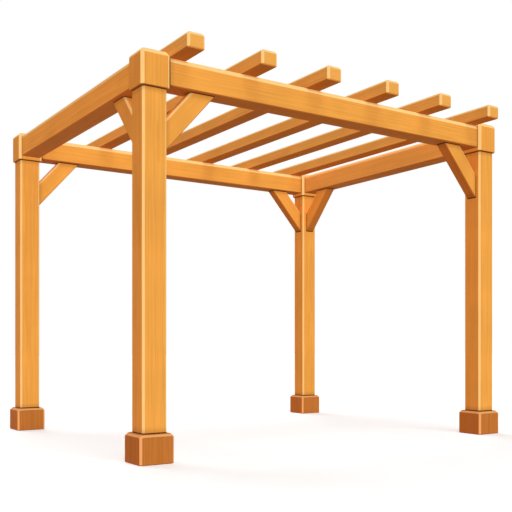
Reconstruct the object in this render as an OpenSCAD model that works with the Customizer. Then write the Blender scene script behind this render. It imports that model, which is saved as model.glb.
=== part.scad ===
// Free-standing garden pergola: four posts on plinths, a ring of beams under caps, rafters and knee braces

/* [Frame] */
// Distance between the post centres along the front
span_x = 2850; // [2000:10:4000]
// Distance between the post centres along the rafters
span_y = 2250; // [1500:10:3500]
// Height of the cap tops above the ground
cap_top_z = 2400; // [2000:10:3000]

/* [Posts] */
// Side of the square posts
post_w = 160; // [130:1:220]
// Leg of the bevel on the post arrises
post_bevel = 16; // [4:1:24]

/* [Plinths] */
// How far a plinth stands out beyond its post on each side
plinth_out = 33; // [24:1:80]
// Height of a plinth
plinth_h = 176; // [110:1:300]
// Leg of the bevel on the upright and top edges of a plinth
plinth_bevel = 18; // [4:1:24]

/* [Caps] */
// How far a cap stands out beyond its post on each side
cap_out = 14; // [8:1:40]
// Height of a cap
cap_h = 214; // [190:1:280]
// Leg of the bevel on the upright and top edges of a cap
cap_bevel = 18; // [4:1:20]

/* [Beams] */
// Width of a beam
beam_w = 150; // [90:1:150]
// Height of a beam
beam_h = 168; // [130:1:190]
// How far the beam tops lie below the cap tops
beam_drop = 22; // [0:1:40]
// Leg of the bevel on the upper long edges of a beam
beam_bevel = 16; // [3:1:20]

/* [Rafters] */
// Width of a rafter
rafter_w = 115; // [60:1:150]
// Height of a rafter
rafter_h = 92; // [60:1:160]
// How far the rafter ends reach beyond the post centres
rafter_over = 285; // [150:5:600]
// Free space between a cap and the rafter beside it
rafter_cap_gap = 8; // [5:1:150]
// Leg of the bevel on the upper and upright edges of a rafter
rafter_bevel = 12; // [3:1:20]

/* [Braces] */
// How far the head of a brace reaches out along the beam from the post
brace_reach = 345; // [260:5:450]
// How far the foot of a brace lies below the cap
brace_foot_drop = 360; // [270:5:450]
// Width of a brace, seen from the side
brace_w = 124; // [80:1:140]
// Thickness of a brace
brace_t = 88; // [50:1:110]
// Leg of the bevel on the inner long edges of a brace, towards the corner
brace_bevel = 10; // [3:1:14]

/* [Lower edges] */
// Leg of the small bevel on the lower edges of beams, rafters and braces
under_bevel = 5; // [2:1:9]

/* [Joints] */
// Side of the square tenons at the foot and the head of a post
post_tenon_w = 80; // [50:1:100]
// Length of the tenon at the foot of a post
foot_tenon_l = 60; // [30:1:90]
// Length of the tenon at the head of a post
head_tenon_l = 45; // [25:1:60]
// Thickness of the tenons at the ends of a beam
beam_tenon_t = 40; // [25:1:60]
// Length of the tenons at the ends of a beam
beam_tenon_l = 40; // [20:1:50]
// Height of the shoulders above and below the tenon of a beam
beam_shoulder = 34; // [22:1:50]
// Thickness of the tenons at the ends of a brace
brace_tenon_t = 30; // [16:1:40]
// Length of the tenons at the ends of a brace
brace_tenon_l = 30; // [15:1:40]
// Width of the shoulders beside the tenons of a brace
brace_shoulder = 22; // [15:1:30]
// Clearance on each side of a tenon in its mortise
tenon_gap = 0.5; // [0.2:0.1:2]
// Spare depth of a mortise beyond the end of its tenon
mortise_spare = 3; // [1:0.5:6]

/* [Hidden] */
timber_colour = "#E39B49";
plinth_colour = "#B96F32";

// Pieces that sit on each other share these sizes and heights
plinth_w = post_w + 2 * plinth_out;
cap_w = post_w + 2 * cap_out;
cap_z = cap_top_z - cap_h;
beam_top_z = cap_top_z - beam_drop;
beam_z = beam_top_z - beam_h;

// The row of rafters runs from beside one cap to beside the other
rafter_count = 6;
rafter_len = span_y + 2 * rafter_over;
rafter_first_x = -span_x / 2 + cap_w / 2 + rafter_cap_gap + rafter_w / 2;
rafter_step = -2 * rafter_first_x / (rafter_count - 1);

// A brace fills the corner below the beam, from brace_fall down the post to brace_reach along the beam
brace_fall = brace_foot_drop + beam_z - cap_z;
brace_angle = atan2(brace_fall, brace_reach);
brace_inner_reach = brace_reach - brace_w / sin(brace_angle);
brace_inner_fall = brace_fall - brace_w / cos(brace_angle);
brace_len = norm([brace_reach, brace_fall]);

// Tenons run this far back into the timber that carries them
root_share = 0.4;
tenon_root = brace_shoulder * root_share;

// Cross-section of a timber with bevelled arrises, where the two on the lower side have a leg of their own
module bevelled_section(w, d, bevel, lower_bevel) {
    x = w / 2;
    y = d / 2;
    polygon([
        [lower_bevel - x, -y], [x - lower_bevel, -y], [x, lower_bevel - y], [x, y - bevel],
        [x - bevel, y], [bevel - x, y], [-x, y - bevel], [-x, lower_bevel - y]
    ]);
}

// Side view of a block that stands flat and is bevelled round its top
module block_profile(w, h, bevel) {
    x = w / 2;
    polygon([[-x, 0], [x, 0], [x, h - bevel], [x - bevel, h], [bevel - x, h], [-x, h - bevel]]);
}

// Square block with bevelled upright and top edges and a flat underside
module standing_block(w, h, bevel) {
    intersection() {
        linear_extrude(height = h) bevelled_section(w, w, bevel, bevel);
        for (turn = [0, 90])
            rotate([90, 0, turn]) linear_extrude(height = w, center = true) block_profile(w, h, bevel);
    }
}

// Square peg round the upright axis, grown by a gap on its four sides
module square_peg(w, bottom, top, gap) {
    side = w + 2 * gap;
    translate([-side / 2, -side / 2, bottom]) cube([side, side, top - bottom]);
}

// Peg below the foot of a post
module foot_tenon(gap, spare) {
    square_peg(post_tenon_w, plinth_h - foot_tenon_l - spare, plinth_h + tenon_root, gap);
}

// Peg above the head of a post
module head_tenon(gap, spare) {
    square_peg(post_tenon_w, cap_z - tenon_root, cap_z + head_tenon_l + spare, gap);
}

// Tongue of a beam, from the face of the cap towards its centre, for a beam that leaves along X
module beam_tenon(gap, spare) {
    length = beam_tenon_l + spare;
    height = beam_h - 2 * beam_shoulder + 2 * gap;
    thick = beam_tenon_t + 2 * gap;
    translate([cap_w / 2 - length, -thick / 2, beam_z + beam_shoulder - gap])
        cube([length + tenon_root, thick, height]);
}

// Tongue at the foot of a brace, pointing into a post whose centre is the origin
module brace_foot_tenon(gap, spare) {
    length = brace_tenon_l + spare;
    thick = brace_tenon_t + 2 * gap;
    height = brace_fall - brace_inner_fall - 2 * brace_shoulder + 2 * gap;
    translate([post_w / 2 - length, -thick / 2, beam_z - brace_fall + brace_shoulder - gap])
        cube([length + tenon_root, thick, height]);
}

// Tongue at the head of a brace, pointing up into the beam, for a post whose centre is the origin
module brace_head_tenon(gap, spare) {
    length = brace_tenon_l + spare;
    thick = brace_tenon_t + 2 * gap;
    width = brace_reach - brace_inner_reach - 2 * brace_shoulder + 2 * gap;
    translate([post_w / 2 + brace_inner_reach + brace_shoulder - gap, -thick / 2, beam_z - tenon_root])
        cube([width, thick, length + tenon_root]);
}

// Plinth block with the socket for its post
module plinth() {
    color(plinth_colour) difference() {
        standing_block(plinth_w, plinth_h, plinth_bevel);
        foot_tenon(tenon_gap, mortise_spare);
    }
}

// Post between its two tenons, with a mortise for each brace on the sides at the given turns
module post(brace_turns) {
    color(timber_colour) difference() {
        union() {
            translate([0, 0, plinth_h]) linear_extrude(height = cap_z - plinth_h)
                bevelled_section(post_w, post_w, post_bevel, post_bevel);
            foot_tenon(0, 0);
            head_tenon(0, 0);
        }
        for (turn = brace_turns) rotate([0, 0, turn]) brace_foot_tenon(tenon_gap, mortise_spare);
    }
}

// Cap block with mortises for the post below and for the beams that leave at the given turns
module cap(beam_turns) {
    color(timber_colour) difference() {
        translate([0, 0, cap_z]) standing_block(cap_w, cap_h, cap_bevel);
        head_tenon(tenon_gap, mortise_spare);
        for (turn = beam_turns) rotate([0, 0, turn]) beam_tenon(tenon_gap, mortise_spare);
    }
}

// Beam along X between two caps, with mortises for the braces at the given ends, -1 or 1
module beam(span, brace_ends) {
    color(timber_colour) difference() {
        union() {
            translate([0, 0, beam_z + beam_h / 2]) rotate([90, 0, 90])
                linear_extrude(height = span - cap_w, center = true)
                    bevelled_section(beam_w, beam_h, beam_bevel, under_bevel);
            for (end = [-1, 1]) mirror([end > 0 ? 1 : 0, 0, 0])
                translate([-span / 2, 0, 0]) beam_tenon(0, 0);
        }
        for (end = brace_ends) mirror([end > 0 ? 1 : 0, 0, 0])
            translate([-span / 2, 0, 0]) brace_head_tenon(tenon_gap, mortise_spare);
    }
}

// Brace that leaves along X from a post at the origin, cut plumb to the post and level to the beam
module brace() {
    color(timber_colour) union() {
        intersection() {
            translate([post_w / 2, -brace_t / 2, beam_z - brace_fall])
                cube([brace_reach, brace_t, brace_fall]);
            translate([post_w / 2 + brace_reach / 2, 0, beam_z - brace_fall / 2]) rotate([0, -brace_angle, 0])
                translate([0, 0, brace_w / 2]) rotate([90, 0, 90])
                    linear_extrude(height = brace_len + 2 * brace_w, center = true)
                        bevelled_section(brace_t, brace_w, brace_bevel, under_bevel);
        }
        brace_foot_tenon(0, 0);
        brace_head_tenon(0, 0);
    }
}

// Rafter along Y that lies on the front and back beams, counted from the left
module rafter(count) {
    color(timber_colour)
        translate([rafter_first_x + (count - 1) * rafter_step, 0, beam_top_z + rafter_h / 2])
            intersection() {
                linear_extrude(height = rafter_h, center = true)
                    bevelled_section(rafter_w, rafter_len, rafter_bevel, rafter_bevel);
                rotate([90, 0, 0]) linear_extrude(height = rafter_len, center = true)
                    bevelled_section(rafter_w, rafter_h, rafter_bevel, under_bevel);
                rotate([90, 0, 90]) linear_extrude(height = rafter_w, center = true)
                    bevelled_section(rafter_len, rafter_h, rafter_bevel, under_bevel);
            }
}

// Puts a piece of one post on its corner of the plan
module on_corner(side_x, side_y) {
    translate([side_x * span_x / 2, side_y * span_y / 2, 0]) children();
}

// Puts a beam that lies along X on the front (-1) or the back (1) of the plan
module on_row(side_y) {
    translate([0, side_y * span_y / 2, 0]) children();
}

// Puts a beam that lies along X on the left (-1) or the right (1) of the plan, running front to back
module on_side(side_x) {
    translate([side_x * span_x / 2, 0, 0]) rotate([0, 0, 90]) children();
}

module front_left_plinth() on_corner(-1, -1) plinth();
module front_right_plinth() on_corner(1, -1) plinth();
module back_right_plinth() on_corner(1, 1) plinth();
module back_left_plinth() on_corner(-1, 1) plinth();

module front_left_post() on_corner(-1, -1) post([0, 90]);
module front_right_post() on_corner(1, -1) post([180]);
module back_right_post() on_corner(1, 1) post([180, 270]);
module back_left_post() on_corner(-1, 1) post([0]);

module front_left_cap() on_corner(-1, -1) cap([0, 90]);
module front_right_cap() on_corner(1, -1) cap([90, 180]);
module back_right_cap() on_corner(1, 1) cap([180, 270]);
module back_left_cap() on_corner(-1, 1) cap([270, 0]);

module front_beam() on_row(-1) beam(span_x, [-1, 1]);
module back_beam() on_row(1) beam(span_x, [-1, 1]);
module left_beam() on_side(-1) beam(span_y, [-1]);
module right_beam() on_side(1) beam(span_y, [1]);

module front_beam_left_brace() on_corner(-1, -1) brace();
module front_beam_right_brace() on_corner(1, -1) rotate([0, 0, 180]) brace();
module back_beam_right_brace() on_corner(1, 1) rotate([0, 0, 180]) brace();
module back_beam_left_brace() on_corner(-1, 1) brace();
module left_beam_front_brace() on_corner(-1, -1) rotate([0, 0, 90]) brace();
module right_beam_back_brace() on_corner(1, 1) rotate([0, 0, 270]) brace();

module rafter_1() rafter(1);
module rafter_2() rafter(2);
module rafter_3() rafter(3);
module rafter_4() rafter(4);
module rafter_5() rafter(5);
module rafter_6() rafter(6);

front_left_plinth();
front_right_plinth();
back_right_plinth();
back_left_plinth();
front_left_post();
front_right_post();
back_right_post();
back_left_post();
front_left_cap();
front_right_cap();
back_right_cap();
back_left_cap();
front_beam();
right_beam();
back_beam();
left_beam();
front_beam_left_brace();
front_beam_right_brace();
back_beam_right_brace();
back_beam_left_brace();
left_beam_front_brace();
right_beam_back_brace();
rafter_1();
rafter_2();
rafter_3();
rafter_4();
rafter_5();
rafter_6();
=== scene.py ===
import math
import random
import bmesh
import bpy
from mathutils import Matrix, Vector


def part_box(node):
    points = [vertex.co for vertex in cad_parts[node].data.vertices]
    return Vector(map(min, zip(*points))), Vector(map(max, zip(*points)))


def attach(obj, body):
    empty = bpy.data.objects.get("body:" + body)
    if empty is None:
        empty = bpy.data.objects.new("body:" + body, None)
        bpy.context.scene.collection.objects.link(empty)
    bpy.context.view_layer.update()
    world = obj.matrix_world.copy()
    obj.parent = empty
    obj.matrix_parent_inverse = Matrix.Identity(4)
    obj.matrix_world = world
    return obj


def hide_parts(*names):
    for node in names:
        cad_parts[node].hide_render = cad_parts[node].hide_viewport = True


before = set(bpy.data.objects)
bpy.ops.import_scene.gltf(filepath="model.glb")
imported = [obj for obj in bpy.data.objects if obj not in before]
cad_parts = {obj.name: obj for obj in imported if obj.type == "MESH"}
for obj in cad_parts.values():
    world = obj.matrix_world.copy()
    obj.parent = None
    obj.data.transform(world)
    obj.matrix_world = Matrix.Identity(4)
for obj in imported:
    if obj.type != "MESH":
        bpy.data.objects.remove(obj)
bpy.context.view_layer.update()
random.seed(41)
mm = 0.001
farAway = 9.0      # metres, past any timber
treeLength = 40      # metres of grain that the timbers are cut from
print("frame loaded,", len(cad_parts), "solids")


def hexToLinear(code):
    channels = [int(code[i:i + 2], 16) / 255 for i in (1, 3, 5)]
    linear = [c / 12.92 if c <= 0.04045 else ((c + 0.055) / 1.055) ** 2.4 for c in channels]
    return (*linear, 1.0)


# adds one node, sets its properties and sockets, and links sockets that are given another node's output
def addNode(tree, kind, sockets=None, **settings):
    node = tree.nodes.new(kind)
    for key, value in settings.items():
        setattr(node, key, value)
    for key, value in (sockets or {}).items():
        if isinstance(value, bpy.types.NodeSocket):
            tree.links.new(value, node.inputs[key])
        else:
            node.inputs[key].default_value = value
    return node


def newMaterial(name):
    material = bpy.data.materials.new(name)
    material.use_nodes = True
    material.node_tree.nodes.clear()
    return material, material.node_tree


# Planed softwood under a nearly matt honey stain: warm flat faces with faint lengthways grain, pale arrises
# of edge wear and painted highlight, paler ringed ends, painted shade on undersides and beside joints, and a
# dark line where two timbers meet
honeyStain = {
    "name": "honey_stained_pine",
    "earlywood": "#EFAA4D",
    "latewood": "#DE943F",
    "underShade": "#CBB3AE",      # painted shade: multiplies the other two on undersides
    # pale arrises: edge wear and a painted highlight
    "worn": "#FFDB92",
    "end": "#F3B45E",
    "endRing": "#CF8A3F",
    "joint": "#3E200D",
    "ringSpacing": 11 * mm,      # true rings are 2 to 4 mm, drawn coarser so that they show
    "ringStretch": 0.12,         # lengthways, so that rings wander slowly along the timber
    "ringWander": 7.0,
    "ringShare": 0.36,
    "ringRelief": 0.35,          # as a share of the fibres' relief
    "fibreWidth": 7 * mm,        # true fibres are finer than a millimetre, drawn coarser so that they show
    "fibreLength": 420 * mm,
    "fibreShare": 0.16,
    "patchSize": 330 * mm,
    "patchShare": 0.10,
    "tintShare": 0.05,           # the most that a timber is darkened to differ from the next
    "wearAndHighlightShare": 0.92,
    "wearAndHighlightFade": 2 * mm,
    "wearAndHighlightRagged": 2 * mm,
    "cornerReach": 6 * mm,
    "endShare": 0.75,
    "jointLine": 9 * mm,         # a true joint is finer than a millimetre, drawn wider so that it shows
    "jointCore": 0.4,            # the part of the line that is darkest
    # painted shade beside a joint: how far it reaches and how dark it gets
    "jointFade": 46 * mm,
    "jointShade": 0.28,
    "roughness": 0.68,
    "poreRough": 0.08,           # added in the pores
    "fibreSmooth": 0.06,         # taken off on the dense fibres
    "specular": 0.02,
    "bump": 0.7 * mm,
    "bumpStrength": 0.5,
}

# The same wood under a deeper brown stain for the blocks that stand on the ground
brownStain = dict(
    honeyStain,
    name="brown_stained_pine",
    earlywood="#C67C38",
    latewood="#AF682C",
    worn="#F8B877",
    end="#D8904D",
    endRing="#A9642F",
    joint="#4A2610",
    roughness=0.72,
)

# A yellower, lighter copy of the honey stain for the rafters and the right beam: painted light that brightens
# their shaded sides
litHoneyStain = dict(
    honeyStain,
    name="honey_pine_painted_lighter",
    earlywood="#EFB65E",
    latewood="#DE9F4D",
    underShade="#CBA791",
    end="#F3B056",
)

waveTurn = 20      # radians that a wave texture turns in a metre at a scale of 1
noiseSpan = {"From Min": 0.3, "From Max": 0.7}      # most values of a noise texture
ringSpan = {"From Min": 0.25, "From Max": 1.0}      # the part of a year in which latewood grows
endSpan = {"From Min": -4 * mm, "From Max": -1 * mm}      # just inside the pale band of an end
# how far up a face looks, from -1 to 1, where a finish begins to change and where it has changed
underSpan = {"From Min": -0.6, "From Max": -0.2}
lowArrisSpan = {"From Min": -0.35, "From Max": -0.1}
topCornerSpan = {"From Min": 0.2, "From Max": 0.5}


def stainedTimber(stain):
    material, tree = newMaterial(stain["name"])
    place = addNode(tree, "ShaderNodeAttribute", attribute_name="grainPlace")
    wearAndHighlightFrom = addNode(tree, "ShaderNodeAttribute", attribute_name="wearAndHighlightFrom")
    seed = addNode(tree, "ShaderNodeAttribute", attribute_name="timberSeed")
    joint = addNode(tree, "ShaderNodeAttribute", attribute_name="jointPlace")
    jointParts = addNode(tree, "ShaderNodeSeparateXYZ", {0: joint.outputs["Vector"]})
    geometry = addNode(tree, "ShaderNodeNewGeometry")
    facing = addNode(tree, "ShaderNodeSeparateXYZ", {0: geometry.outputs["Normal"]})
    wood = addNode(tree, "ShaderNodeVectorMath", {0: place.outputs["Vector"], 1: seed.outputs["Vector"]},
                   operation="ADD")

    # growth rings round the pith, which run along the timber and wander a little
    ringPlace = addNode(tree, "ShaderNodeMapping",
                        {"Vector": wood.outputs[0], "Scale": (stain["ringStretch"], 1, 1)})
    rings = addNode(tree, "ShaderNodeTexWave",
                    {"Vector": ringPlace.outputs[0], "Scale": math.tau / waveTurn / stain["ringSpacing"],
                     "Distortion": stain["ringWander"], "Detail": 2.0, "Detail Scale": 0.35,
                     "Detail Roughness": 0.55},
                    wave_type="RINGS", rings_direction="X", wave_profile="SAW")
    ringTone = addNode(tree, "ShaderNodeMapRange",
                       {"Value": rings.outputs["Fac"], **ringSpan,
                        "To Min": 0.0, "To Max": stain["ringShare"]}, interpolation_type="SMOOTHSTEP")
    # fibres, long and thin
    fibreScale = (1 / stain["fibreLength"], 1 / stain["fibreWidth"], 1 / stain["fibreWidth"])
    fibrePlace = addNode(tree, "ShaderNodeMapping", {"Vector": wood.outputs[0], "Scale": fibreScale})
    fibres = addNode(tree, "ShaderNodeTexNoise",
                     {"Vector": fibrePlace.outputs[0], "Scale": 1.0, "Detail": 4.0, "Roughness": 0.6})
    # slow patches where the stain took more or less
    patches = addNode(tree, "ShaderNodeTexNoise",
                      {"Vector": wood.outputs[0], "Scale": 1 / stain["patchSize"], "Detail": 2.0})

    ground = addNode(tree, "ShaderNodeMix",
                     {0: ringTone.outputs[0], 6: hexToLinear(stain["earlywood"]),
                      7: hexToLinear(stain["latewood"])}, data_type="RGBA")
    # undersides are painted in a deeper colour of the stain: painted shade
    underShade = addNode(tree, "ShaderNodeMapRange",
                        {"Value": facing.outputs["Z"], **underSpan, "To Min": 1.0, "To Max": 0.0})
    deep = addNode(tree, "ShaderNodeMix",
                   {0: underShade.outputs[0], 6: ground.outputs[2], 7: hexToLinear(stain["underShade"])},
                   data_type="RGBA", blend_type="MULTIPLY")
    fibreTone = addNode(tree, "ShaderNodeMapRange",
                        {"Value": fibres.outputs["Fac"], **noiseSpan,
                         "To Min": 1 - stain["fibreShare"] / 2, "To Max": 1 + stain["fibreShare"] / 2})
    patchTone = addNode(tree, "ShaderNodeMapRange",
                        {"Value": patches.outputs["Fac"], **noiseSpan,
                         "To Min": 1 - stain["patchShare"] / 2, "To Max": 1 + stain["patchShare"] / 2})
    stainTone = addNode(tree, "ShaderNodeMath", {0: fibreTone.outputs[0], 1: patchTone.outputs[0]},
                        operation="MULTIPLY")
    tone = addNode(tree, "ShaderNodeMath", {0: stainTone.outputs[0], 1: jointParts.outputs["Z"]},
                   operation="MULTIPLY")
    toned = addNode(tree, "ShaderNodeVectorMath", {0: deep.outputs[2], "Scale": tone.outputs[0]},
                    operation="SCALE")

    # how far a point is from the pale band of wear and painted highlight at its nearest arris: the middle one
    # of its three distances
    reach = addNode(tree, "ShaderNodeVectorMath", {0: place.outputs["Vector"]}, operation="ABSOLUTE")
    inside = addNode(tree, "ShaderNodeVectorMath", {0: wearAndHighlightFrom.outputs["Vector"], 1: reach.outputs[0]},
                     operation="SUBTRACT")
    depth = addNode(tree, "ShaderNodeSeparateXYZ", {0: inside.outputs[0]})
    lesser = addNode(tree, "ShaderNodeMath", {0: depth.outputs["X"], 1: depth.outputs["Y"]},
                     operation="MINIMUM")
    greater = addNode(tree, "ShaderNodeMath", {0: depth.outputs["X"], 1: depth.outputs["Y"]},
                      operation="MAXIMUM")
    upper = addNode(tree, "ShaderNodeMath", {0: greater.outputs[0], 1: depth.outputs["Z"]},
                    operation="MINIMUM")
    arris = addNode(tree, "ShaderNodeMath", {0: lesser.outputs[0], 1: upper.outputs[0]},
                    operation="MAXIMUM")
    greatest = addNode(tree, "ShaderNodeMath", {0: greater.outputs[0], 1: depth.outputs["Z"]},
                       operation="MAXIMUM")
    # the facet where three arrises meet gets the pale band of wear and painted highlight too, but not the
    # upright faces beside it
    leaning = addNode(tree, "ShaderNodeMapRange",
                      {"Value": facing.outputs["Z"], **topCornerSpan,
                       "To Min": farAway, "To Max": -stain["cornerReach"]})
    corner = addNode(tree, "ShaderNodeMath", {0: greatest.outputs[0], 1: leaning.outputs[0]},
                     operation="ADD")
    edge = addNode(tree, "ShaderNodeMath", {0: arris.outputs[0], 1: corner.outputs[0]},
                   operation="MINIMUM")
    ragged = addNode(tree, "ShaderNodeMath",
                     {0: fibres.outputs["Fac"], 1: -stain["wearAndHighlightRagged"], 2: edge.outputs[0]},
                     operation="MULTIPLY_ADD")
    worn = addNode(tree, "ShaderNodeMapRange",
                   {"Value": ragged.outputs[0], "From Min": -stain["wearAndHighlightFade"] - stain["wearAndHighlightRagged"] / 2,
                    "From Max": -stain["wearAndHighlightRagged"] / 2,
                    "To Min": stain["wearAndHighlightShare"], "To Max": 0.0}, interpolation_type="SMOOTHSTEP")
    # arrises that look down keep their stain: no wear and no painted highlight where shade falls
    upFacing = addNode(tree, "ShaderNodeMapRange",
                      {"Value": facing.outputs["Z"], **lowArrisSpan, "To Min": 0.0, "To Max": 1.0})
    wearAndHighlightUp = addNode(tree, "ShaderNodeMath", {0: worn.outputs[0], 1: upFacing.outputs[0]},
                     operation="MULTIPLY")
    # sawn ends, a little paler
    endFace = addNode(tree, "ShaderNodeMapRange",
                      {"Value": depth.outputs["X"], **endSpan,
                       "To Min": stain["endShare"], "To Max": 0.0}, interpolation_type="SMOOTHSTEP")
    endRings = addNode(tree, "ShaderNodeMix",
                       {0: ringTone.outputs[0], 6: hexToLinear(stain["end"]),
                        7: hexToLinear(stain["endRing"])}, data_type="RGBA")
    endGrain = addNode(tree, "ShaderNodeVectorMath", {0: endRings.outputs[2], "Scale": tone.outputs[0]},
                       operation="SCALE")
    endColour = addNode(tree, "ShaderNodeMix",
                        {0: endFace.outputs[0], 6: toned.outputs[0], 7: endGrain.outputs[0]},
                        data_type="RGBA")
    wearAndHighlightColour = addNode(tree, "ShaderNodeMix",
                         {0: wearAndHighlightUp.outputs[0], 6: endColour.outputs[2], 7: hexToLinear(stain["worn"])},
                         data_type="RGBA")
    # a thin dark line in the joint, and beside it a soft painted shade where the neighbouring timber shades
    # this one
    nearest = addNode(tree, "ShaderNodeMath", {0: jointParts.outputs["X"], 1: jointParts.outputs["Y"]},
                      operation="MINIMUM")
    jointLine = addNode(tree, "ShaderNodeMapRange",
                        {"Value": nearest.outputs[0], "From Min": stain["jointCore"] * stain["jointLine"],
                         "From Max": stain["jointLine"], "To Min": 1 - stain["jointShade"], "To Max": 0.0},
                        interpolation_type="SMOOTHSTEP")
    jointShade = addNode(tree, "ShaderNodeMapRange",
                         {"Value": nearest.outputs[0], "From Min": 0.0, "From Max": stain["jointFade"],
                          "To Min": stain["jointShade"], "To Max": 0.0}, interpolation_type="SMOOTHSTEP")
    jointDark = addNode(tree, "ShaderNodeMath", {0: jointLine.outputs[0], 1: jointShade.outputs[0]},
                        operation="ADD")
    colour = addNode(tree, "ShaderNodeMix",
                     {0: jointDark.outputs[0], 6: wearAndHighlightColour.outputs[2], 7: hexToLinear(stain["joint"])},
                     data_type="RGBA")

    rough = addNode(tree, "ShaderNodeMapRange",
                    {"Value": fibres.outputs["Fac"], **noiseSpan,
                     "To Min": stain["roughness"] + stain["poreRough"],
                     "To Max": stain["roughness"] - stain["fibreSmooth"]})
    height = addNode(tree, "ShaderNodeMath",
                     {0: rings.outputs["Fac"], 1: stain["ringRelief"], 2: fibres.outputs["Fac"]},
                     operation="MULTIPLY_ADD")
    bump = addNode(tree, "ShaderNodeBump",
                   {"Height": height.outputs[0], "Strength": stain["bumpStrength"],
                    "Distance": stain["bump"]})
    shader = addNode(tree, "ShaderNodeBsdfPrincipled",
                     {"Base Color": colour.outputs[2], "Roughness": rough.outputs[0],
                      "Specular IOR Level": stain["specular"], "Normal": bump.outputs[0]})
    addNode(tree, "ShaderNodeOutputMaterial", {"Surface": shader.outputs[0]})
    return material


honeyTimber = stainedTimber(honeyStain)
litHoneyTimber = stainedTimber(litHoneyStain)
brownTimber = stainedTimber(brownStain)
print("materials made")

axisX, axisY, axisZ = Vector((1, 0, 0)), Vector((0, 1, 0)), Vector((0, 0, 1))
# a timber's own axes: along it, across it and through its depth
standing, lyingX, lyingY = (axisZ, axisX, axisY), (axisX, axisY, axisZ), (axisY, axisX, axisZ)
corners = ("front_left", "front_right", "back_right", "back_left")


def deselectAll():
    bpy.ops.object.select_all(action="DESELECT")


# a block of wood at the size and place of the timber that it becomes, rising along X by the slope
def startBlock(name, centre, size, slope=0.0):
    deselectAll()
    bpy.ops.mesh.primitive_cube_add(size=1, location=centre, rotation=(0, -slope, 0), scale=size)
    block = bpy.context.object
    block.name = block.data.name = name
    bpy.ops.object.transform_apply(location=True, rotation=True, scale=True)
    return block


def runsAlong(way, axis):
    return abs(way.dot(axis)) > 0.9


def runsAcross(way, axis):
    return abs(way.dot(axis)) < 0.1


# planes a bevel on the edges that the test picks, by the edge's middle and its direction
def planeEdges(block, width, test):
    bpy.ops.object.mode_set(mode="EDIT")
    bpy.ops.mesh.select_mode(type="EDGE")
    bpy.ops.mesh.select_all(action="DESELECT")
    mesh = bmesh.from_edit_mesh(block.data)
    for edge in mesh.edges:
        a, b = edge.verts[0].co, edge.verts[1].co
        edge.select_set(test((a + b) / 2, (b - a).normalized()))
    bmesh.update_edit_mesh(block.data)
    bpy.ops.mesh.bevel(offset=width, offset_type="OFFSET", segments=1, affect="EDGES")
    bpy.ops.object.mode_set(mode="OBJECT")


# cuts the timber through at a plane and keeps the side behind it
def sawOff(block, point, normal):
    bpy.ops.object.mode_set(mode="EDIT")
    bpy.ops.mesh.select_all(action="SELECT")
    bpy.ops.mesh.bisect(plane_co=point, plane_no=normal, use_fill=True, clear_outer=True)
    bpy.ops.object.mode_set(mode="OBJECT")


# rounds every edge that is left sharp, as sanding does
def sandEdges(block, radius):
    bpy.ops.object.shade_smooth()
    sanding = block.modifiers.new("sanding", "BEVEL")
    sanding.width = radius
    sanding.segments = 3
    sanding.limit_method = "ANGLE"
    sanding.angle_limit = math.radians(20)
    sanding.harden_normals = True
    bpy.ops.object.modifier_apply(modifier=sanding.name)


# a block with bevels on its upright and top edges and finer ones underneath
def makeBlock(name, low, high, sizes):
    block = startBlock(name, (low + high) / 2, high - low)
    planeEdges(block, sizes["arris"], lambda mid, way: runsAlong(way, axisZ))
    planeEdges(block, sizes["arris"], lambda mid, way: mid.z > high.z - mm)
    planeEdges(block, sizes["underArris"], lambda mid, way: mid.z < low.z + mm)
    sandEdges(block, sizes["sanded"])
    return block


# writes where each point lies in its own timber, for the grain, the arrises' pale band of wear and painted
# highlight, and the dark joints with their painted shade
def markGrain(timber, centre, axes, half, sizes, startEnd, endEnd):
    mesh = timber.data
    count = len(mesh.vertices)
    along, across, deep = axes
    lying = axes is not standing
    # a butted or standing end gets no pale band of wear and painted highlight, nor the underside of a lying
    # timber: places are counted from there
    fromStart = half.x if startEnd != "free" else 0.0
    fromUnder = half.z if lying else 0.0
    wearAndHighlightFrom = Vector((half.x + fromStart, half.y, half.z + fromUnder)) - Vector([sizes["worn"]] * 3)
    if endEnd != "free":
        wearAndHighlightFrom.x = farAway
    # a painted highlight widens the pale band below the arrises round the top
    if lying:
        wearAndHighlightFrom.z -= sizes["topHighlight"]
    else:
        wearAndHighlightFrom.x -= sizes["topHighlight"]
    places, joints = [], []
    for vertex in mesh.vertices:
        offset = vertex.co - centre
        x = offset.dot(along)
        places += [x + fromStart, offset.dot(across), offset.dot(deep) + fromUnder]
        startJoint = half.x + x if startEnd == "butted" else farAway
        endJoint = half.x - x if endEnd == "butted" else farAway
        joints += [startJoint, endJoint, 1.0]      # the last is the timber's tone, set when it is finished
    marks = {"grainPlace": places, "jointPlace": joints, "wearAndHighlightFrom": list(wearAndHighlightFrom) * count}
    for name, values in marks.items():
        mesh.attributes.new(name, "FLOAT_VECTOR", "POINT").data.foreach_set("vector", values)
    mesh.attributes.new("timberSeed", "FLOAT_VECTOR", "POINT")


def markBlock(block, low, high, axes, sizes, startEnd, endEnd):
    half = Vector([(high - low).dot(axis) for axis in axes]) / 2
    markGrain(block, (low + high) / 2, axes, half, sizes, startEnd, endEnd)


# gives a timber its own length of tree, its pith and its tone, then its finish, its body and its solid
def finishTimber(timber, node, material, pith, paintedLightTone=1.0):
    seed = [random.uniform(0, treeLength), random.uniform(-pith, pith), random.uniform(-pith, pith)]
    # a random tint, times a tone of painted light and shade where one is given
    tone = paintedLightTone * (1 - honeyStain["tintShare"] * (1 - random.random()))
    mesh = timber.data
    count = len(mesh.vertices)
    mesh.attributes["timberSeed"].data.foreach_set("vector", seed * count)
    for item in mesh.attributes["jointPlace"].data:
        item.vector[2] = tone
    mesh.materials.clear()
    mesh.materials.append(material)
    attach(timber, "root")
    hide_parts(node)


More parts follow.
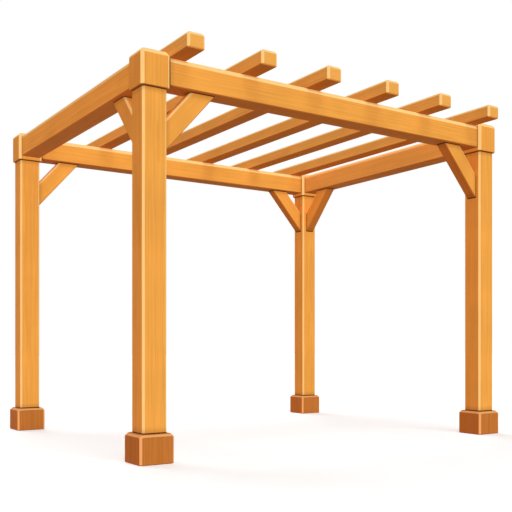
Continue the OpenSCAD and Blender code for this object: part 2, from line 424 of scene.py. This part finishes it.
# a copy of a timber with its own mesh, turned about an upright line and moved
def copyTimber(timber, name, turn, pivot, move):
    deselectAll()
    other = timber.copy()
    other.data = timber.data.copy()
    other.name = other.data.name = name
    bpy.context.collection.objects.link(other)
    moved = Matrix.Translation(pivot + move) @ Matrix.Rotation(turn, 4, "Z")
    other.matrix_world = moved @ Matrix.Translation(-pivot)
    other.select_set(True)
    bpy.context.view_layer.objects.active = other
    bpy.ops.object.transform_apply(location=True, rotation=True, scale=True)
    return other


def pieceName(node):
    first, *rest = node.split("_")
    return first + "".join(word.capitalize() for word in rest)


def middle(node):
    low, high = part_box(node)
    return (low + high) / 2


# puts a finished timber and its copies on their corners
def onCorners(first, part, material, pith):
    start = middle("front_left_" + part)
    timbers = [first]
    for corner in corners[1:]:
        node = corner + "_" + part
        timbers.append(copyTimber(first, pieceName(node), 0, start, middle(node) - start))
    for corner, timber in zip(corners, timbers):
        finishTimber(timber, corner + "_" + part, material, pith)


# widths of the pale band of edge wear and painted highlight from the edge of the uncut block, and of the
# painted highlight that goes further round the top; pith is how far the heart of the tree may lie from the
# middle of the timber
plinthBlock = {"arris": 18 * mm, "underArris": 4 * mm, "sanded": 2.5 * mm,
               "worn": 16 * mm, "topHighlight": 0, "pith": 30 * mm}
low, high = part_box("front_left_plinth")
plinth = makeBlock("frontLeftPlinth", low, high, plinthBlock)
markBlock(plinth, low, high, standing, plinthBlock, "standing", "free")
onCorners(plinth, "plinth", brownTimber, plinthBlock["pith"])
print("plinths done")

postTimber = {"arris": 16 * mm, "shoulderArris": 3 * mm, "sanded": 2 * mm,
              "worn": 15 * mm, "topHighlight": 0, "pith": 35 * mm}
low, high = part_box("front_left_post")
low.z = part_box("front_left_plinth")[1].z          # the tenons in the plinth and the cap stay out of sight
high.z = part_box("front_left_cap")[0].z
post = startBlock("frontLeftPost", (low + high) / 2, high - low)
planeEdges(post, postTimber["arris"], lambda mid, way: runsAlong(way, axisZ))
planeEdges(post, postTimber["shoulderArris"], lambda mid, way: runsAcross(way, axisZ))
sandEdges(post, postTimber["sanded"])
markBlock(post, low, high, standing, postTimber, "butted", "butted")
onCorners(post, "post", honeyTimber, postTimber["pith"])
print("posts done")

capBlock = {"arris": 18 * mm, "underArris": 3 * mm, "sanded": 2.5 * mm,
            "worn": 19 * mm, "topHighlight": 9 * mm, "pith": 35 * mm}
low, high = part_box("front_left_cap")
cap = makeBlock("frontLeftCap", low, high, capBlock)
markBlock(cap, low, high, standing, capBlock, "standing", "free")
onCorners(cap, "cap", honeyTimber, capBlock["pith"])
print("caps done")

beamTimber = {"arris": 16 * mm, "underArris": 5 * mm, "shoulderArris": 3 * mm, "sanded": 2 * mm,
              "worn": 18 * mm, "topHighlight": 13 * mm, "pith": 60 * mm,
              "wood": {"right_beam": litHoneyTimber},      # the right beam in the lighter copy, as painted light; the others are honey timber
              "paintedLightTone": {"left_beam": 1.14, "back_beam": 0.95}}      # painted light and shade as a tone: the left beam lighter, the back beam darker; the others have 1


# one beam between the faces of its two caps, and a copy on the far side of the frame
def makeBeams(first, second, startCap, endCap, axes):
    along = axes[0]
    axis = list(along).index(1)      # the coordinate that changes along the beam
    low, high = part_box(first)
    low[axis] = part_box(startCap)[1][axis]
    high[axis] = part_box(endCap)[0][axis]
    beam = startBlock(pieceName(first), (low + high) / 2, high - low)
    planeEdges(beam, beamTimber["arris"], lambda mid, way: runsAlong(way, along) and mid.z > high.z - mm)
    planeEdges(beam, beamTimber["underArris"], lambda mid, way: runsAlong(way, along) and mid.z < low.z + mm)
    planeEdges(beam, beamTimber["shoulderArris"], lambda mid, way: runsAcross(way, along))
    sandEdges(beam, beamTimber["sanded"])
    markBlock(beam, low, high, axes, beamTimber, "butted", "butted")
    other = copyTimber(beam, pieceName(second), 0, middle(first), middle(second) - middle(first))
    for timber, node in ((beam, first), (other, second)):
        wood = beamTimber["wood"].get(node, honeyTimber)
        paintedLightTone = beamTimber["paintedLightTone"].get(node, 1.0)
        finishTimber(timber, node, wood, beamTimber["pith"], paintedLightTone)


makeBeams("front_beam", "back_beam", "front_left_cap", "front_right_cap", lyingX)
makeBeams("left_beam", "right_beam", "front_left_cap", "back_left_cap", lyingY)
print("beams done")

rafterTimber = {"arris": 12 * mm, "underArris": 5 * mm, "sanded": 2 * mm,
                "worn": 15 * mm, "topHighlight": 3 * mm, "pith": 30 * mm}
low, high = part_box("rafter_1")
rafter = makeBlock("rafterOne", low, high, rafterTimber)
markBlock(rafter, low, high, lyingY, rafterTimber, "free", "free")
rafters = [rafter]
for count, word in enumerate(("Two", "Three", "Four", "Five", "Six"), 2):
    rafters.append(copyTimber(rafter, "rafter" + word, 0, middle("rafter_1"),
                              middle(f"rafter_{count}") - middle("rafter_1")))
for count, timber in enumerate(rafters, 1):
    # the rafters in the lighter copy of the stain, as painted light
    finishTimber(timber, f"rafter_{count}", litHoneyTimber, rafterTimber["pith"])
print("rafters done")

kneeBrace = {"width": 124 * mm, "arris": 10 * mm, "underArris": 5 * mm, "sanded": 1.5 * mm,
             "worn": 13 * mm, "topHighlight": 0, "pith": 40 * mm}
# each brace's corner, and its quarter turns from the brace between the front left post and the front beam
braceTurns = {
    "front_beam_left_brace": ("front_left", 0),
    "front_beam_right_brace": ("front_right", 2),
    "back_beam_right_brace": ("back_right", 2),
    "back_beam_left_brace": ("back_left", 0),
    "left_beam_front_brace": ("front_left", 1),
    "right_beam_back_brace": ("back_right", 3),
}
braceLow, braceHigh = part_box("front_beam_left_brace")
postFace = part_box("front_left_post")[1].x
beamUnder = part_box("front_beam")[0].z
reach, fall = braceHigh.x - postFace, beamUnder - braceLow.z
slope = math.atan2(fall, reach)
braceMiddle = (braceLow.y + braceHigh.y) / 2
outerMiddle = Vector((postFace + reach / 2, braceMiddle, beamUnder - fall / 2))
along = Vector((math.cos(slope), 0, math.sin(slope)))
inward = Vector((-math.sin(slope), 0, math.cos(slope)))
braceCentre = outerMiddle + inward * kneeBrace["width"] / 2
braceLength = math.hypot(reach, fall) + 2 * kneeBrace["width"]      # long enough to be sawn to its slope
braceSize = Vector((braceLength, braceHigh.y - braceLow.y, kneeBrace["width"]))
brace = startBlock(pieceName("front_beam_left_brace"), braceCentre, braceSize, slope)
upper = braceCentre.dot(inward) + kneeBrace["width"] / 2 - mm
lower = braceCentre.dot(inward) - kneeBrace["width"] / 2 + mm
planeEdges(brace, kneeBrace["arris"], lambda mid, way: runsAlong(way, along) and mid.dot(inward) > upper)
planeEdges(brace, kneeBrace["underArris"], lambda mid, way: runsAlong(way, along) and mid.dot(inward) < lower)
sawOff(brace, (postFace, 0, 0), -axisX)
sawOff(brace, (0, 0, beamUnder), axisZ)
sandEdges(brace, kneeBrace["sanded"])
markGrain(brace, braceCentre, (along, axisY, inward), braceSize / 2, kneeBrace, "standing", "standing")
for vertex, item in zip(brace.data.vertices, brace.data.attributes["jointPlace"].data):
    item.vector = (vertex.co.x - postFace, beamUnder - vertex.co.z, 1.0)      # from post and beam
pivot = middle("front_left_post")
braces = {"front_beam_left_brace": brace}
for node, (corner, turns) in braceTurns.items():
    if node not in braces:
        braces[node] = copyTimber(brace, pieceName(node), turns * math.pi / 2, pivot,
                                  middle(corner + "_post") - pivot)
for node, timber in braces.items():
    finishTimber(timber, node, honeyTimber, kneeBrace["pith"])
print("braces done")

# Plain pale studio: a white floor that keeps the shadow, a broad key from the front and one from the back,
# and even fills on the sides that they leave dim
studio = {
    "floorSize": 80.0,
    "floorGap": 0.2 * mm,
    "floorLight": 0.4,
    "floorTint": "#F1FAFF",
    "bounce": "#D1BEAF",
    "ambient": "#FFEBD8",
    "ambientLevel": 0.12,
    "backdrop": "#FFFFFF",
    "backdropLevel": 1.0,
}
# turn is in degrees to the left of the front, rise above the floor
lamps = {
    "keyLamp": {"level": 0.8, "colour": "#FFFFFF", "turn": 0, "rise": 60, "softness": 32, "shadow": True},
    "frontFill": {"level": 1.87, "colour": "#FFFFFF", "turn": 0, "rise": 0, "softness": 32, "shadow": False},
    "leftFill": {"level": 0.98, "colour": "#FFD6CF", "turn": 90, "rise": 0, "softness": 32, "shadow": False},
    "backFill": {"level": 1.2, "colour": "#FFFFFF", "turn": 180, "rise": 60, "softness": 32, "shadow": True},
    "rightFill": {"level": 0.4, "colour": "#FFE9D8", "turn": -90, "rise": 0, "softness": 32, "shadow": False},
    "rearFill": {"level": 1.05, "colour": "#FFFFFF", "turn": 180, "rise": 0, "softness": 32, "shadow": False},
}


# 1 where the floor or the backdrop is seen, straight, in gloss or through glass, and 0 where it lights
def seenStraight(tree):
    rays = addNode(tree, "ShaderNodeLightPath")
    inGloss = addNode(tree, "ShaderNodeMath",
                      {0: rays.outputs["Is Camera Ray"], 1: rays.outputs["Is Glossy Ray"]},
                      operation="MAXIMUM")
    seen = addNode(tree, "ShaderNodeMath", {0: inGloss.outputs[0], 1: rays.outputs["Is Transmission Ray"]},
                   operation="MAXIMUM")
    return seen.outputs[0]


deselectAll()
bpy.ops.mesh.primitive_plane_add(size=studio["floorSize"], location=(0, 0, -studio["floorGap"]))
floor = bpy.context.object
floor.name = "studioFloor"
floorPaint, tree = newMaterial("matt_white_floor")
white = addNode(tree, "ShaderNodeBsdfDiffuse", {"Color": hexToLinear(studio["backdrop"])})
lift = addNode(tree, "ShaderNodeEmission",
               {"Color": hexToLinear(studio["floorTint"]), "Strength": studio["floorLight"]})
shown = addNode(tree, "ShaderNodeAddShader", {0: white.outputs[0], 1: lift.outputs[0]})
bounce = addNode(tree, "ShaderNodeBsdfDiffuse", {"Color": hexToLinear(studio["bounce"])})
floorMix = addNode(tree, "ShaderNodeMixShader",
                   {0: seenStraight(tree), 1: bounce.outputs[0], 2: shown.outputs[0]})
addNode(tree, "ShaderNodeOutputMaterial", {"Surface": floorMix.outputs[0]})
floor.data.materials.append(floorPaint)

world = bpy.data.worlds.new("studioLight")
world.use_nodes = True
bpy.context.scene.world = world
tree = world.node_tree
tree.nodes.clear()
ambient = addNode(tree, "ShaderNodeBackground",
                  {"Color": hexToLinear(studio["ambient"]), "Strength": studio["ambientLevel"]})
backdrop = addNode(tree, "ShaderNodeBackground",
                   {"Color": hexToLinear(studio["backdrop"]), "Strength": studio["backdropLevel"]})
skyMix = addNode(tree, "ShaderNodeMixShader",
                 {0: seenStraight(tree), 1: ambient.outputs[0], 2: backdrop.outputs[0]})
addNode(tree, "ShaderNodeOutputWorld", {"Surface": skyMix.outputs[0]})


def addLamp(name, level, colour, turn, rise, softness, shadow):
    lamp = bpy.data.lights.new(name, "SUN")
    lamp.energy = level
    lamp.color = hexToLinear(colour)[:3]
    lamp.angle = math.radians(softness)
    lamp.use_shadow = shadow
    holder = bpy.data.objects.new(name, lamp)
    bpy.context.collection.objects.link(holder)
    holder.rotation_euler = (math.radians(90 - rise), 0, math.radians(-turn))


for name, lamp in lamps.items():
    addLamp(name, **lamp)
print("studio lit")

# focal length and horizon are in pixels of a square image, the sensor is in millimetres
cameraView = {"place": (-3.520, -5.394, 0.697), "turn": -33.71, "focal": 803.3, "horizon": 343.8,
              "image": 512.0, "sensor": 36.0}
camera = bpy.data.objects.new("photoCamera", bpy.data.cameras.new("photoCamera"))
bpy.context.collection.objects.link(camera)
camera.location = cameraView["place"]
camera.rotation_euler = (math.pi / 2, 0, math.radians(cameraView["turn"]))
camera.data.sensor_width = cameraView["sensor"]
camera.data.lens = cameraView["focal"] / cameraView["image"] * cameraView["sensor"]
camera.data.shift_y = (cameraView["horizon"] - cameraView["image"] / 2) / cameraView["image"]
bpy.context.scene.camera = camera
bpy.context.scene.view_settings.view_transform = "Standard"
print("camera set")
